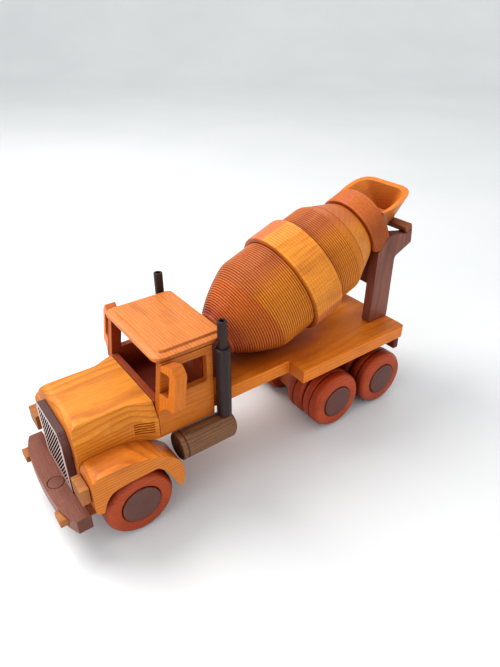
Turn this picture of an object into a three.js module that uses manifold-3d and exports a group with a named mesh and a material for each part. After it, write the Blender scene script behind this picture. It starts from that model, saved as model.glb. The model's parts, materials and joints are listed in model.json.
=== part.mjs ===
// Wooden toy cement mixer lorry: a long-nosed cab, a flat deck on two rear axles
// and a turning drum under a hopper. Millimetres, +Z up, the bonnet points along +X.
// Lengths are laid out from the front axle; the finished toy is then moved along X
// so that its origin is the middle of its footprint.
import * as THREE from 'three';
import { mergeVertices } from 'three/addons/utils/BufferGeometryUtils.js';
import Module from 'manifold-3d';

const wasm = await Module();
wasm.setup();

// ---------- driving dimensions ----------
const GAP = 0.3; // glue line between neighbouring boards
const ROUND = 24; // sides of a large turned piece
const SMALL_ROUND = 16; // sides of a dowel or a pipe
const DRUM_ROUND = 40; // sides of the drum and its band

const WHEEL_R = 28.3;
const AXLE_Z = WHEEL_R;
const REAR_AXLE_X = [-206.3, -267.8];
const TRACK_OUT = 58; // outer face of every wheel and edge of the deck
const FRONT_WHEEL_W = 19.7;
const REAR_WHEEL_W = 21.3;
const TREAD_GROOVE = 2.2;
const HUB_R = 15.6;
const HUB_DEPTH = 5.4;
const HUB_PROUD = 2;
const AXLE_R = 4.75;
const AXLE_CLEAR = 0.6;

const DECK_Z = 71.1; // underside of the deck
const DECK_TOP = 83.8;
const DECK_REAR = -291.1;
const DECK_FRONT = -159.5;
const RAIL_HALF = 38; // half width of the rail and of the bonnet
const TONGUE_HALF = 33.5; // the chassis board narrows under the bonnet
const BLOCK_FLOOR = 17;
const REAR_BLOCK_X = [-278.6, -192];
const REAR_BAR = { x: [-285, -278.9], foot: 60.6 };

const NOSE_X = 34.8; // front of the bonnet
const COWL_X = -27.7; // front edge of the cab boards
const CAB_REAR = -76.6;
const CAB_OUT = 44.5; // outer face of the cab boards
const CAB_WALL = 6.2;
const CAB_TOP = 137.6;
const PILLAR_RAKE = 5.3;
const WINDOW = { front: -37.8, lean: 3.6, rear: -71, sill: 106.4, top: 131 };
const HOOD_TOP = 102.5;
const HOOD_CREASE = 30;
const SHOULDER_FRONT = 93;
const SHOULDER_REAR = 88.5;
const FLARE_START = -8;

const FENDER_OUT = 61;
const BUMPER_Z = [27, 40];
const BUMPER_REAR = 37.5;
const BUMPER_FRONT = 56.6;
const BUMPER_HALF = 54.7;
const HEADLIGHT = { x: [35.3, 42.3], y: [39.2, 56.9], z: [54.2, 68.4] };
const OVERRIDER = { y: [33.5, 45.5], z: [31, 37.2], back: 46, front: 58 };

const TANK = { y: 48.7, z: 59.1, r: 11.7, rear: -90, front: -38.2, groove: 4.5 };
const STACK = { x: -83, y: 48.7, r: 6.1, shoulder: 135, pipeR: 3.85, top: 158.3 };

const TILT = THREE.MathUtils.degToRad(21.42); // drum axis, mouth up at the rear
const DRUM_CENTRE = new THREE.Vector3(-176.9, 0, 138.6);
const DRUM_BORE = 5;
const SHAFT_R = 4.4;
const SHAFT_ENDS = [-110.5, 92];
const BAND_R = 48.8;
const BAND_LENGTH = 30;
const BARREL_R = 44.5;
const COLLAR = { front: -86, rear: -105.7, outer: 34, inner: 28.5 };
const POST_Y = [24, 34];
const CROSSBAR = { front: -127, rear: -135.5, top: -11, thick: 5.5 };

const REAR_END = -310.7;

// ---------- solids ----------
function toSolid(geometry) {
  const plain = geometry.clone();
  plain.deleteAttribute('normal');
  plain.deleteAttribute('uv');
  const merged = mergeVertices(plain, 1e-4);
  const vertProperties = new Float32Array(merged.attributes.position.array);
  const triVerts = new Uint32Array(merged.index.array);
  return new wasm.Manifold(new wasm.Mesh({ numProp: 3, vertProperties, triVerts }));
}

function toGeometry(solid) {
  const mesh = solid.getMesh();
  const geometry = new THREE.BufferGeometry();
  const points = new Float32Array((mesh.vertProperties.length / mesh.numProp) * 3);
  for (let i = 0; i < points.length / 3; i += 1) {
    points.set(mesh.vertProperties.subarray(i * mesh.numProp, i * mesh.numProp + 3), i * 3);
  }
  geometry.setAttribute('position', new THREE.BufferAttribute(points, 3));
  geometry.setIndex(new THREE.BufferAttribute(new Uint32Array(mesh.triVerts), 1));
  geometry.computeVertexNormals();
  return geometry;
}

function cut(base, ...tools) {
  let solid = toSolid(base);
  for (const tool of tools) solid = solid.subtract(toSolid(tool));
  return toGeometry(solid);
}

function join(base, ...others) {
  let solid = toSolid(base);
  for (const other of others) solid = solid.add(toSolid(other));
  return toGeometry(solid);
}

// ---------- outlines ----------
// Closed outline through [x, y, r] points; r rounds that corner.
function outline(points, ShapeClass = THREE.Shape) {
  const shape = new ShapeClass();
  const at = points.map(([x, y]) => new THREE.Vector2(x, y));
  points.forEach(([, , r = 0], i) => {
    const corner = at[i];
    const before = at[(i + at.length - 1) % at.length];
    const after = at[(i + 1) % at.length];
    const enter = before.clone().sub(corner).setLength(r).add(corner);
    const leave = after.clone().sub(corner).setLength(r).add(corner);
    if (i === 0) shape.moveTo(enter.x, enter.y);
    else shape.lineTo(enter.x, enter.y);
    if (r > 0) shape.quadraticCurveTo(corner.x, corner.y, leave.x, leave.y);
  });
  shape.closePath();
  return shape;
}

// Completes a half outline in (x, y) across y = 0, or one in (y, z) across y = 0.
const bothEdges = (half) => [...half, ...half.map(([x, y, r]) => [x, -y, r]).reverse()];
const bothSides = (half) => [...half, ...half.map(([y, z, r]) => [-y, z, r]).reverse()];

function extrude(shape, depth, curveSegments = 4) {
  return new THREE.ExtrudeGeometry(shape, { depth, bevelEnabled: false, curveSegments, steps: 1 });
}

const SIDE_BASIS = new THREE.Matrix4().makeBasis(
  new THREE.Vector3(1, 0, 0), new THREE.Vector3(0, 0, 1), new THREE.Vector3(0, -1, 0));
const END_BASIS = new THREE.Matrix4().makeBasis(
  new THREE.Vector3(0, 1, 0), new THREE.Vector3(0, 0, 1), new THREE.Vector3(1, 0, 0));

// Outline in (x, y), sawn between two heights.
const plan = (points, z0, z1) => extrude(outline(points), z1 - z0).translate(0, 0, z0);
// Outline in (x, z), sawn between two y values.
const side = (points, y0, y1) => extrude(outline(points), y1 - y0).applyMatrix4(SIDE_BASIS).translate(0, y1, 0);
// Outline in (y, z), sawn between two x values.
const end = (points, x0, x1) => extrude(outline(points), x1 - x0).applyMatrix4(END_BASIS).translate(x0, 0, 0);

function block(x0, x1, y0, y1, z0, z1) {
  const box = new THREE.BoxGeometry(x1 - x0, y1 - y0, z1 - z0);
  return box.translate((x0 + x1) / 2, (y0 + y1) / 2, (z0 + z1) / 2);
}

// A dowel along Y, centred on (x, z).
function dowelY(x, z, radius, y0, y1, sides = SMALL_ROUND) {
  return new THREE.CylinderGeometry(radius, radius, y1 - y0, sides).translate(x, (y0 + y1) / 2, z);
}

function dowelZ(x, y, radius, z0, z1, sides = SMALL_ROUND) {
  const dowel = new THREE.CylinderGeometry(radius, radius, z1 - z0, sides).rotateX(Math.PI / 2);
  return dowel.translate(x, y, (z0 + z1) / 2);
}

// Turned piece from closed [radius, height] points, its axis along Y.
function turned(profile, sides = ROUND) {
  const points = [...profile, profile[0]].map(([r, h]) => new THREE.Vector2(r, h));
  return new THREE.LatheGeometry(points, sides);
}

// ---------- materials ----------
function wood(color, roughness = 0.5) {
  return new THREE.MeshStandardMaterial({ color, roughness, metalness: 0 });
}
const CHERRY = wood(0xc9752e, 0.45);
const FIR = wood(0xd98a3c, 0.45);
const REDWOOD = wood(0xa8502a, 0.5);
const DARK_RED = wood(0x6b2a20, 0.5);
const WALNUT = wood(0x4a332e, 0.5);
const TAN = wood(0xa8672f, 0.5);
const EBONY = wood(0x2a2628, 0.4);
const BARK_BROWN = wood(0x6d5138, 0.6);

// ---------- assembly ----------
const toy = new THREE.Group();
const truck = new THREE.Group();
truck.position.x = -(OVERRIDER.front + REAR_END) / 2;
toy.add(truck);

function add(name, geometry, material, parent = truck) {
  const mesh = new THREE.Mesh(geometry, material);
  mesh.name = name;
  parent.add(mesh);
  return mesh;
}

const SIDES = [['left', 1], ['right', -1]];

// A right-hand piece is the left-hand one reflected in the truck's centre plane.
function reflected(geometry) {
  const copy = geometry.clone().scale(1, -1, 1);
  const index = copy.index ? copy.index.array : Uint32Array.from(copy.attributes.position.array.keys());
  const count = copy.index ? index.length : copy.attributes.position.count;
  const turnedOver = new Uint32Array(count);
  for (let i = 0; i < count; i += 3) {
    const [a, b, c] = copy.index ? index.slice(i, i + 3) : [i, i + 1, i + 2];
    turnedOver.set([a, c, b], i);
  }
  copy.setIndex(new THREE.BufferAttribute(turnedOver, 1));
  copy.computeVertexNormals();
  return copy;
}

function addPair(name, geometry, material) {
  for (const [label, sign] of SIDES) {
    add(`${name}_${label}`, sign > 0 ? geometry : reflected(geometry), material);
  }
}

// ---------- chassis ----------
function chassisBoard() {
  const cornerR = 5;
  return plan(bothEdges([
    [DECK_REAR, TRACK_OUT, cornerR], [DECK_FRONT, TRACK_OUT], [DECK_FRONT, RAIL_HALF],
    [COWL_X, RAIL_HALF], [COWL_X, TONGUE_HALF], [NOSE_X, TONGUE_HALF],
  ]), DECK_Z, DECK_TOP);
}

function axleHole(x, halfWidth) {
  return dowelY(x, AXLE_Z, AXLE_R + AXLE_CLEAR, -halfWidth - 1, halfWidth + 1);
}

function rearAxleBlock() {
  const halfWidth = 12.5;
  const body = block(...REAR_BLOCK_X, -halfWidth, halfWidth, BLOCK_FLOOR, DECK_Z - GAP);
  return cut(body, ...REAR_AXLE_X.map((x) => axleHole(x, halfWidth)));
}

// Stepped at the front: the bumper is glued to the step, the grille stands above it.
function frontAxleBlock() {
  const halfWidth = 35.7;
  const rear = -20;
  const step = BUMPER_Z[1] - GAP;
  const profile = [
    [rear, BLOCK_FLOOR], [BUMPER_REAR - GAP, BLOCK_FLOOR], [BUMPER_REAR - GAP, step],
    [NOSE_X, step], [NOSE_X, DECK_Z - GAP], [rear, DECK_Z - GAP],
  ];
  return cut(side(profile, -halfWidth, halfWidth), axleHole(0, halfWidth));
}

add('chassis_board', chassisBoard(), CHERRY);
add('rear_axle_block', rearAxleBlock(), CHERRY);
add('front_axle_block', frontAxleBlock(), CHERRY);
add('rear_bar', block(...REAR_BAR.x, -TRACK_OUT, TRACK_OUT, REAR_BAR.foot, DECK_Z - GAP), DARK_RED);

// ---------- wheels ----------
// Profile from the inner face to the outer one, with a groove round the tread and
// a recess for the hub cap.
function wheel(width, recessed) {
  const edge = 3;
  const dish = 1;
  const bore = AXLE_R + GAP;
  const groove = TREAD_GROOVE / 2;
  const seat = HUB_R + GAP;
  const seatFloor = width - HUB_DEPTH - GAP;
  const tread = [
    [WHEEL_R - edge, 0], [WHEEL_R, edge],
    [WHEEL_R, width / 2 - groove], [WHEEL_R - TREAD_GROOVE, width / 2 - groove],
    [WHEEL_R - TREAD_GROOVE, width / 2 + groove], [WHEEL_R, width / 2 + groove],
    [WHEEL_R, width - edge], [WHEEL_R - edge, width],
  ];
  const face = recessed
    ? [[seat + dish, width - dish], [seat, width - dish], [seat, seatFloor], [bore, seatFloor]]
    : [[bore, width]];
  return turned([[bore, 0], ...tread, ...face], ROUND);
}

function hubCap() {
  const crown = 1.2;
  const height = HUB_DEPTH + HUB_PROUD;
  return turned([[0, 0], [HUB_R, 0], [HUB_R, height - crown], [HUB_R - crown * 2, height], [0, height]], ROUND);
}

// Turned pieces are made for the left side; half a turn about X points them right.
function addTurned(name, geometry, material, x, sign, y) {
  const mesh = add(name, geometry, material);
  mesh.position.set(x, sign * y, AXLE_Z);
  if (sign < 0) mesh.rotation.x = Math.PI;
}

const AXLE_END = TRACK_OUT - HUB_DEPTH - 2 * GAP;
const OUTER_WHEEL_Y = TRACK_OUT - REAR_WHEEL_W;
const INNER_WHEEL_Y = OUTER_WHEEL_Y - 1.4 - REAR_WHEEL_W;

function addAxle(name, x) {
  add(name, dowelY(x, AXLE_Z, AXLE_R, -AXLE_END, AXLE_END), TAN);
}

addAxle('front_axle', 0);
for (const [label, sign] of SIDES) {
  const inner = TRACK_OUT - FRONT_WHEEL_W;
  addTurned(`front_wheel_${label}`, wheel(FRONT_WHEEL_W, true), REDWOOD, 0, sign, inner);
  addTurned(`front_hub_cap_${label}`, hubCap(), WALNUT, 0, sign, TRACK_OUT - HUB_DEPTH);
}
REAR_AXLE_X.forEach((x, i) => {
  const axle = `rear_axle_${i + 1}`;
  addAxle(axle, x);
  for (const [label, sign] of SIDES) {
    addTurned(`${axle}_outer_wheel_${label}`, wheel(REAR_WHEEL_W, true), REDWOOD, x, sign, OUTER_WHEEL_Y);
    addTurned(`${axle}_inner_wheel_${label}`, wheel(REAR_WHEEL_W, false), REDWOOD, x, sign, INNER_WHEEL_Y);
    addTurned(`${axle}_hub_cap_${label}`, hubCap(), WALNUT, x, sign, TRACK_OUT - HUB_DEPTH);
  }
});

// ---------- bumper, grille and lamps ----------
const PLUG = { x: 47.5, y: 9.1, r: 6.2, depth: 4 };

function bumper() {
  const [end, bend, shoulder] = [48.4, 53.6, 54.8];
  const [bendY, shoulderY, crownY] = [44, 35, 17];
  const shape = new THREE.Shape();
  shape.moveTo(BUMPER_REAR, -BUMPER_HALF);
  shape.lineTo(end, -BUMPER_HALF);
  shape.quadraticCurveTo(bend, -bendY, shoulder, -shoulderY);
  shape.quadraticCurveTo(BUMPER_FRONT, -crownY, BUMPER_FRONT, 0);
  shape.quadraticCurveTo(BUMPER_FRONT, crownY, shoulder, shoulderY);
  shape.quadraticCurveTo(bend, bendY, end, BUMPER_HALF);
  shape.lineTo(BUMPER_REAR, BUMPER_HALF);
  shape.closePath();
  const board = extrude(shape, BUMPER_Z[1] - BUMPER_Z[0], 6).translate(0, 0, BUMPER_Z[0]);
  const notch = block(OVERRIDER.back - GAP, BUMPER_FRONT + 1, OVERRIDER.y[0] - GAP, OVERRIDER.y[1] + GAP,
    OVERRIDER.z[0] - GAP, OVERRIDER.z[1] + GAP);
  const plugHole = dowelZ(PLUG.x, PLUG.y, PLUG.r + GAP, BUMPER_Z[1] - PLUG.depth - GAP, BUMPER_Z[1] + 1);
  return cut(board, plugHole, notch, reflected(notch));
}

// Upright shell with clipped top corners and a comb of upright slots in its face.
function grille() {
  const [back, front] = [NOSE_X + GAP, 40.9];
  const [half, topHalf, shoulder, top] = [27.5, 21.65, 87.5, 95.8];
  const [slots, pitch, slotWidth, slotFoot, depth, border] = [16, 2.85, 1.3, 45, 1.6, 3.6];
  const shell = end(bothSides([[half, BUMPER_Z[1] + GAP], [half, shoulder], [topHalf, top]]), back, front);
  const fall = (top - shoulder) / (half - topHalf);
  const cutters = Array.from({ length: slots }, (_, i) => {
    const y = (i - (slots - 1) / 2) * pitch;
    const slotTop = Math.min(top, shoulder + (half - Math.abs(y) - slotWidth) * fall) - border;
    return block(front - depth, front + 1, y - slotWidth / 2, y + slotWidth / 2, slotFoot, slotTop);
  });
  return cut(shell, ...cutters);
}

add('bumper', bumper(), WALNUT);
add('bumper_plug', dowelZ(PLUG.x, PLUG.y, PLUG.r, BUMPER_Z[1] - PLUG.depth, BUMPER_Z[1], 24), WALNUT);
addPair('bumper_block', block(OVERRIDER.back, OVERRIDER.front, ...OVERRIDER.y, ...OVERRIDER.z), TAN);
add('grille', grille(), WALNUT);
addPair('headlight', block(...HEADLIGHT.x, ...HEADLIGHT.y, ...HEADLIGHT.z), TAN);

// ---------- bonnet and mudguards ----------
// Prism with clipped top corners. Behind FLARE_START it swells to the width of the cab.
// A margin makes it larger all round, for cutting its neighbours back.
function bonnetPrism(margin = 0) {
  const rings = 14;
  const start = COWL_X + GAP;
  const length = NOSE_X - start;
  const half = RAIL_HALF + margin;
  const shape = outline(bothSides([[half, DECK_Z - margin], [half, SHOULDER_REAR], [HOOD_CREASE, HOOD_TOP]]));
  const prism = new THREE.ExtrudeGeometry(shape, { depth: length, bevelEnabled: false, steps: rings });
  prism.applyMatrix4(END_BASIS).translate(start, 0, 0);
  const at = prism.attributes.position;
  for (let i = 0; i < at.count; i += 1) {
    const [x, y, z] = [at.getX(i), at.getY(i), at.getZ(i)];
    at.setY(i, y + Math.sign(y) * swell(x));
    const rise = ((x - start) / length) * (SHOULDER_FRONT - SHOULDER_REAR);
    if (z > DECK_TOP && z < HOOD_TOP - 1) at.setZ(i, z + rise);
  }
  return prism;
}

function swell(x) {
  const ease = THREE.MathUtils.smoothstep(FLARE_START - x, 0, FLARE_START - COWL_X);
  return ease * (CAB_OUT - RAIL_HALF);
}

function bonnet() {
  const [from, to, half] = [COWL_X - 1, NOSE_X + 1, TONGUE_HALF + GAP];
  const channel = block(from, to, -half, half, DECK_Z - 1, DECK_TOP + GAP);
  return cut(bonnetPrism(), channel, noseRound(), ...louvres());
}

// Everything outside the quarter round on the bonnet's top front edge.
function noseRound() {
  const r = 7;
  const half = CAB_OUT + 1;
  const shape = new THREE.Shape();
  shape.moveTo(NOSE_X + 1, HOOD_TOP + 1);
  shape.lineTo(NOSE_X + 1, HOOD_TOP - r);
  shape.lineTo(NOSE_X, HOOD_TOP - r);
  shape.absarc(NOSE_X - r, HOOD_TOP - r, r, 0, Math.PI / 2);
  shape.lineTo(NOSE_X - r, HOOD_TOP + 1);
  shape.closePath();
  return extrude(shape, 2 * half, 4).applyMatrix4(SIDE_BASIS).translate(0, half, 0);
}

// Short lengthwise grooves, as deep in the swelling as ahead of it.
function louvres() {
  const [count, foot, pitch, height, depth] = [5, 78.4, 2.3, 1, 1.3];
  const [rear, front] = [-24, -10];
  const core = bonnetPrism(-depth);
  return Array.from({ length: count }, (_, i) => {
    const z = foot + i * pitch;
    const slot = cut(block(rear, front, TONGUE_HALF, CAB_OUT + 2, z, z + height), core);
    return [slot, reflected(slot)];
  }).flat();
}

// The front edge, the flat top and the long fall behind the wheel, then the arch.
const fenderProfile = [
  [29.2, 42.2, 1.5], [35, 44.2, 3], [35, 77, 9], [2.7, 77, 12], [-21.3, 69.7, 8], [-35.8, 56.2, 9],
  [-37.3, 38.2, 4], [-33.3, 28.5, 0.8], [-30.9, 33.2, 2], [-21.8, 53.4, 4], [-15.5, 60, 3], [11, 59.6, 5],
  [21.2, 57.9, 4], [26.5, 51.3, 4],
];
addPair('fender', cut(side(fenderProfile, RAIL_HALF + GAP, FENDER_OUT), bonnetPrism(GAP)), FIR);
add('hood', bonnet(), FIR);

// ---------- cab ----------
const CAB_IN = CAB_OUT - CAB_WALL;
function cabSide() {
  const rakeFrom = 94;
  const board = outline([
    [CAB_REAR, DECK_Z], [COWL_X, DECK_Z], [COWL_X, rakeFrom],
    [COWL_X - PILLAR_RAKE, CAB_TOP], [CAB_REAR, CAB_TOP],
  ]);
  const { front, lean, rear, sill, top } = WINDOW;
  const opening = [[front, sill, 1.5], [front - lean, top, 2], [rear, top, 2], [rear, sill, 1.5]];
  board.holes.push(outline(opening, THREE.Path));
  return extrude(board, CAB_WALL, 2).applyMatrix4(SIDE_BASIS).translate(0, CAB_OUT, 0);
}

function cabBack() {
  const half = CAB_IN - GAP;
  const board = outline(bothSides([[half, DECK_TOP + GAP], [half, CAB_TOP]]));
  const [opening, cornerR, thick] = [24, 2, 6];
  board.holes.push(outline([
    [-opening, WINDOW.sill, cornerR], [opening, WINDOW.sill, cornerR],
    [opening, WINDOW.top, cornerR], [-opening, WINDOW.top, cornerR],
  ], THREE.Path));
  return extrude(board, thick, 2).applyMatrix4(END_BASIS).translate(CAB_REAR, 0, 0);
}

// Flat slab under a raised panel: the slab's edges slope up to the panel.
function roof() {
  const [front, rear, half, edgeZ, topZ] = [-29.5, -90, 44.2, 142.2, 144.3];
  const [inset, rearInset] = [6.5, 2];
  const slab = plan(bothEdges([[front, half, 9], [rear, half, 4]]), CAB_TOP + GAP, edgeZ);
  const panel = plan(bothEdges([[front - inset, half - inset, 5], [rear + rearInset, half - inset, 4]]), edgeZ - 1, topZ);
  return join(slab, panel);
}

// C-shaped board on the pillar's outer face; its arms reach out to an upright bar.
function mirror() {
  const root = CAB_OUT + GAP;
  const [tip, bar, thick] = [61.5, 54.6, 9.5];
  const shape = outline([
    [root, 97, 0], [53, 104.2, 2], [tip, 104.2, 2], [tip, 133, 2], [56, 139.8, 2], [root, 136.8, 0],
    [root, 132, 0], [bar, 132.5, 2], [bar, 113.5, 2], [root, 113.5, 0],
  ]);
  const [frontX, rake, sweep, level] = [-30, 0.133, 0.19, 115];
  const board = extrude(shape, thick, 3).applyMatrix4(END_BASIS).translate(frontX - thick, 0, 0);
  const at = board.attributes.position;
  for (let i = 0; i < at.count; i += 1) {
    at.setX(i, at.getX(i) - rake * (at.getZ(i) - level) - sweep * (at.getY(i) - root));
  }
  return board;
}

function cowl() {
  const [thick, half] = [5.5, CAB_IN - GAP];
  const front = COWL_X - GAP;
  return block(front - thick, front, -half, half, DECK_TOP + GAP, HOOD_TOP);
}

addPair('cab_side', cabSide(), CHERRY);
add('cab_back', cabBack(), CHERRY);
add('cab_cowl', cowl(), CHERRY);
add('roof', roof(), FIR);
addPair('mirror', mirror(), CHERRY);

// ---------- exhaust stacks and fuel tanks ----------
function stackBody() {
  const { r, shoulder, pipeR } = STACK;
  const [bore, boreDepth, chamfer] = [pipeR + GAP, 6, 1];
  return turned([
    [0, TANK.z + TANK.r + GAP], [r, TANK.z + TANK.r + GAP], [r, shoulder - chamfer], [r - chamfer, shoulder],
    [bore, shoulder], [bore, shoulder - boreDepth], [0, shoulder - boreDepth],
  ], SMALL_ROUND).rotateX(Math.PI / 2).translate(STACK.x, STACK.y, 0);
}

function stackPipe() {
  const { pipeR, shoulder, top } = STACK;
  const [bore, boreDepth] = [2.1, 9];
  const foot = shoulder - 5.6;
  return turned([
    [0, foot], [pipeR, foot], [pipeR, top], [bore, top], [bore, top - boreDepth],
    [0, top - boreDepth],
  ], SMALL_ROUND).rotateX(Math.PI / 2).translate(STACK.x, STACK.y, 0);
}

function tank() {
  const { r, rear, front, groove } = TANK;
  const [nick, nickHalf, crown, ease, margin] = [1, 0.7, 3.4, 1.1, 1.6];
  const ringed = (x) => [[r, x - nickHalf], [r - nick, x], [r, x + nickHalf]];
  return turned([
    [0, rear], [r - crown, rear], [r - ease, rear + ease], [r, rear + crown],
    ...ringed(rear + crown + margin), ...ringed(front - groove), [r, front - ease], [r - ease, front], [0, front],
  ], ROUND).rotateZ(-Math.PI / 2).translate(0, TANK.y, TANK.z);
}

addPair('fuel_tank', tank(), BARK_BROWN);
addPair('stack_body', stackBody(), EBONY);
addPair('stack_pipe', stackPipe(), EBONY);

// ---------- drum ----------
// In this group +X runs down the drum's axis to its nose, and +Z stands square to it.
const drumFrame = new THREE.Group();
drumFrame.position.copy(DRUM_CENTRE);
drumFrame.rotation.y = TILT;
drumFrame.updateMatrix();
truck.add(drumFrame);
const intoDrumFrame = drumFrame.matrix.clone().invert();

// Truck (x, z) of the point this far along the axis and this far above it.
function offAxis(along, above) {
  const point = new THREE.Vector3(along, 0, above).applyMatrix4(drumFrame.matrix);
  return [point.x, point.z];
}

const alongAxis = (profile, sides) => turned(profile, sides).rotateZ(-Math.PI / 2);

function drum() {
  const [mouth, nose] = [-84.4, 74.4];
  return alongAxis([
    [DRUM_BORE, mouth], [30.5, mouth], [40, -65.3], [BARREL_R, -57], [BARREL_R, 31], [42.8, 36], [37.4, 48],
    [30.5, 60], [22, 71.5], [18.5, nose], [DRUM_BORE, nose],
  ], DRUM_ROUND);
}

function drumBand() {
  const inner = BARREL_R + GAP;
  return alongAxis([[inner, -BAND_LENGTH], [BAND_R, -BAND_LENGTH], [BAND_R, 0], [inner, 0]], DRUM_ROUND);
}

function axisRod(radius, from, to) {
  return alongAxis([[0, from], [radius, from], [radius, to], [0, to]], SMALL_ROUND);
}

add('drum', drum(), CHERRY, drumFrame);
add('drum_band', drumBand(), FIR, drumFrame);
add('drum_shaft', axisRod(SHAFT_R, ...SHAFT_ENDS), TAN, drumFrame);

// Hole for the shaft, laid in the truck's own frame.
const shaftHole = () => axisRod(DRUM_BORE, SHAFT_ENDS[0] - 20, SHAFT_ENDS[1] + 20).applyMatrix4(drumFrame.matrix);

function frontBearing() {
  const [rear, front, half, top] = [-102, -90, 19, 118];
  return cut(block(rear, front, -half, half, DECK_TOP + GAP, top), shaftHole());
}

function rearBearing() {
  const [half, clipped, foot, shoulder, top] = [POST_Y[0] - GAP, 12, 121.5, 170, 184];
  const [rear, front] = [-281, -269];
  return cut(end(bothSides([[half, foot], [half, shoulder], [clipped, top]]), rear, front), shaftHole());
}

add('drum_front_bearing', frontBearing(), DARK_RED);
add('drum_rear_bearing', rearBearing(), DARK_RED);

// ---------- collar, posts, crossbar and hopper ----------
const SEAT = [[-265.4, 159.8], [-268.5, 159.8], [-276, 171]]; // where the collar stands on a post

// Half ring over the drum's mouth with two straight legs, trimmed to the posts' seats.
function collar() {
  const { outer, inner, front, rear } = COLLAR;
  const leg = -24;
  const arch = new THREE.Shape();
  arch.moveTo(-outer, leg);
  arch.lineTo(-outer, 0);
  arch.absarc(0, 0, outer, Math.PI, 0, true);
  arch.lineTo(outer, leg);
  arch.lineTo(inner, leg);
  arch.lineTo(inner, 0);
  arch.absarc(0, 0, inner, 0, Math.PI, false);
  arch.lineTo(-inner, leg);
  arch.closePath();
  const ring = extrude(arch, front - rear, 14).applyMatrix4(END_BASIS).translate(rear, 0, 0);
  const [step, face, rise] = SEAT.map(([x, z]) => [x + GAP / 2, z + 1.5 * GAP]);
  const [ahead, behind, floor, half] = [step[0] + 20, REAR_END + 10, 120, 40];
  const below = side([
    [ahead, step[1]], face, rise, [behind, rise[1] + 1], [behind, floor], [ahead, floor],
  ], -half, half).applyMatrix4(intoDrumFrame);
  return cut(ring, below);
}

function post() {
  const { front, rear, top, thick } = CROSSBAR;
  const under = top - thick - GAP;
  const profile = [
    [SEAT[0][0], DECK_TOP + GAP], ...SEAT, [-287, 172], offAxis(front, under), offAxis(rear, under),
    [REAR_END, 158.3], [-289.5, 148.5, 3], [DECK_REAR, DECK_TOP + GAP],
  ];
  return side(profile, ...POST_Y);
}

function crossbar() {
  const { front, rear, top, thick } = CROSSBAR;
  return block(rear, front, -POST_Y[1], POST_Y[1], top - thick, top);
}

// Squeezes a prism towards (centre, 0) at its foot; its top keeps its size.
function tapered(geometry, foot, top, centre, alongScale, acrossScale) {
  const at = geometry.attributes.position;
  for (let i = 0; i < at.count; i += 1) {
    const squeeze = (top - at.getZ(i)) / (top - foot);
    const x = at.getX(i);
    at.setX(i, x + squeeze * (centre - x) * (1 - alongScale));
    at.setY(i, at.getY(i) * (1 - squeeze * (1 - acrossScale)));
  }
  return geometry;
}

// Scoop open at the top and towards the drum, narrowing to a foot on the crossbar.
function hopper() {
  const rim = 16.4;
  const foot = CROSSBAR.top + GAP;
  const [mouth, rear, wall, floor] = [COLLAR.rear - GAP, -146.5, 5, 5.2];
  const shell = plan(bothEdges([[mouth, 30], [-118, 34, 8], [rear, 31.5, 12]]), foot, rim);
  const hollow = plan(bothEdges([[mouth + 12, 25], [-117, 28.8, 7], [rear + wall, 26.5, 8]]), foot + floor, rim + 3);
  tapered(shell, foot, rim, -127.2, 0.434, 0.44);
  tapered(hollow, foot, rim, -122, 0.6, 0.4);
  return cut(shell, hollow);
}

add('collar', collar(), CHERRY, drumFrame);
addPair('post', post(), WALNUT);
add('crossbar', crossbar(), WALNUT, drumFrame);
add('hopper', hopper(), FIR, drumFrame);

export default toy;
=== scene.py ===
"""Wooden toy cement mixer: rounded boards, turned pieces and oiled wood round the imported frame."""

import json
import math
import random

import bmesh
import bpy
from mathutils import Matrix, Vector


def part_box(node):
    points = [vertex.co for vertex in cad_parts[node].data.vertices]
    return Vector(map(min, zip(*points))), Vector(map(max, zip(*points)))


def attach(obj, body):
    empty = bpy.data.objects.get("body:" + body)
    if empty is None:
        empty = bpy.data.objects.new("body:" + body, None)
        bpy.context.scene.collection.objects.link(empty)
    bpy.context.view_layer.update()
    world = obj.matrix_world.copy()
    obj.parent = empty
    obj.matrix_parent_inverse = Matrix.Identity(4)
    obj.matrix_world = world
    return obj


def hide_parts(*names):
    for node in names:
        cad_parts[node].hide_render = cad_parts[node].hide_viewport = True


MM = 0.001
SIDES = {"left": 1, "right": -1}

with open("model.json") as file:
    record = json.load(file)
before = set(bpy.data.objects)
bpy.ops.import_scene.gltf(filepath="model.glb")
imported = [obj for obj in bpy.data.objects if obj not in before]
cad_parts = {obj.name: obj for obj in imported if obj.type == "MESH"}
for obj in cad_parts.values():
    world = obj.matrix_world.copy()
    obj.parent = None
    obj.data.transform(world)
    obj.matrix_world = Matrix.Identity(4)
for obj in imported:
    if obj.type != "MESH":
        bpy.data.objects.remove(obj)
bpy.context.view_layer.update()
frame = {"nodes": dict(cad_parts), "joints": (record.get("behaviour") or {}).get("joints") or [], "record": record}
RECORD = frame["record"]
BODY_OF = {node: body for body, nodes in RECORD["behaviour"]["bodies"].items() for node in nodes}
SLOT_OF = {part["node"]: part["material_slot"] for part in RECORD["subparts"]}

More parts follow.
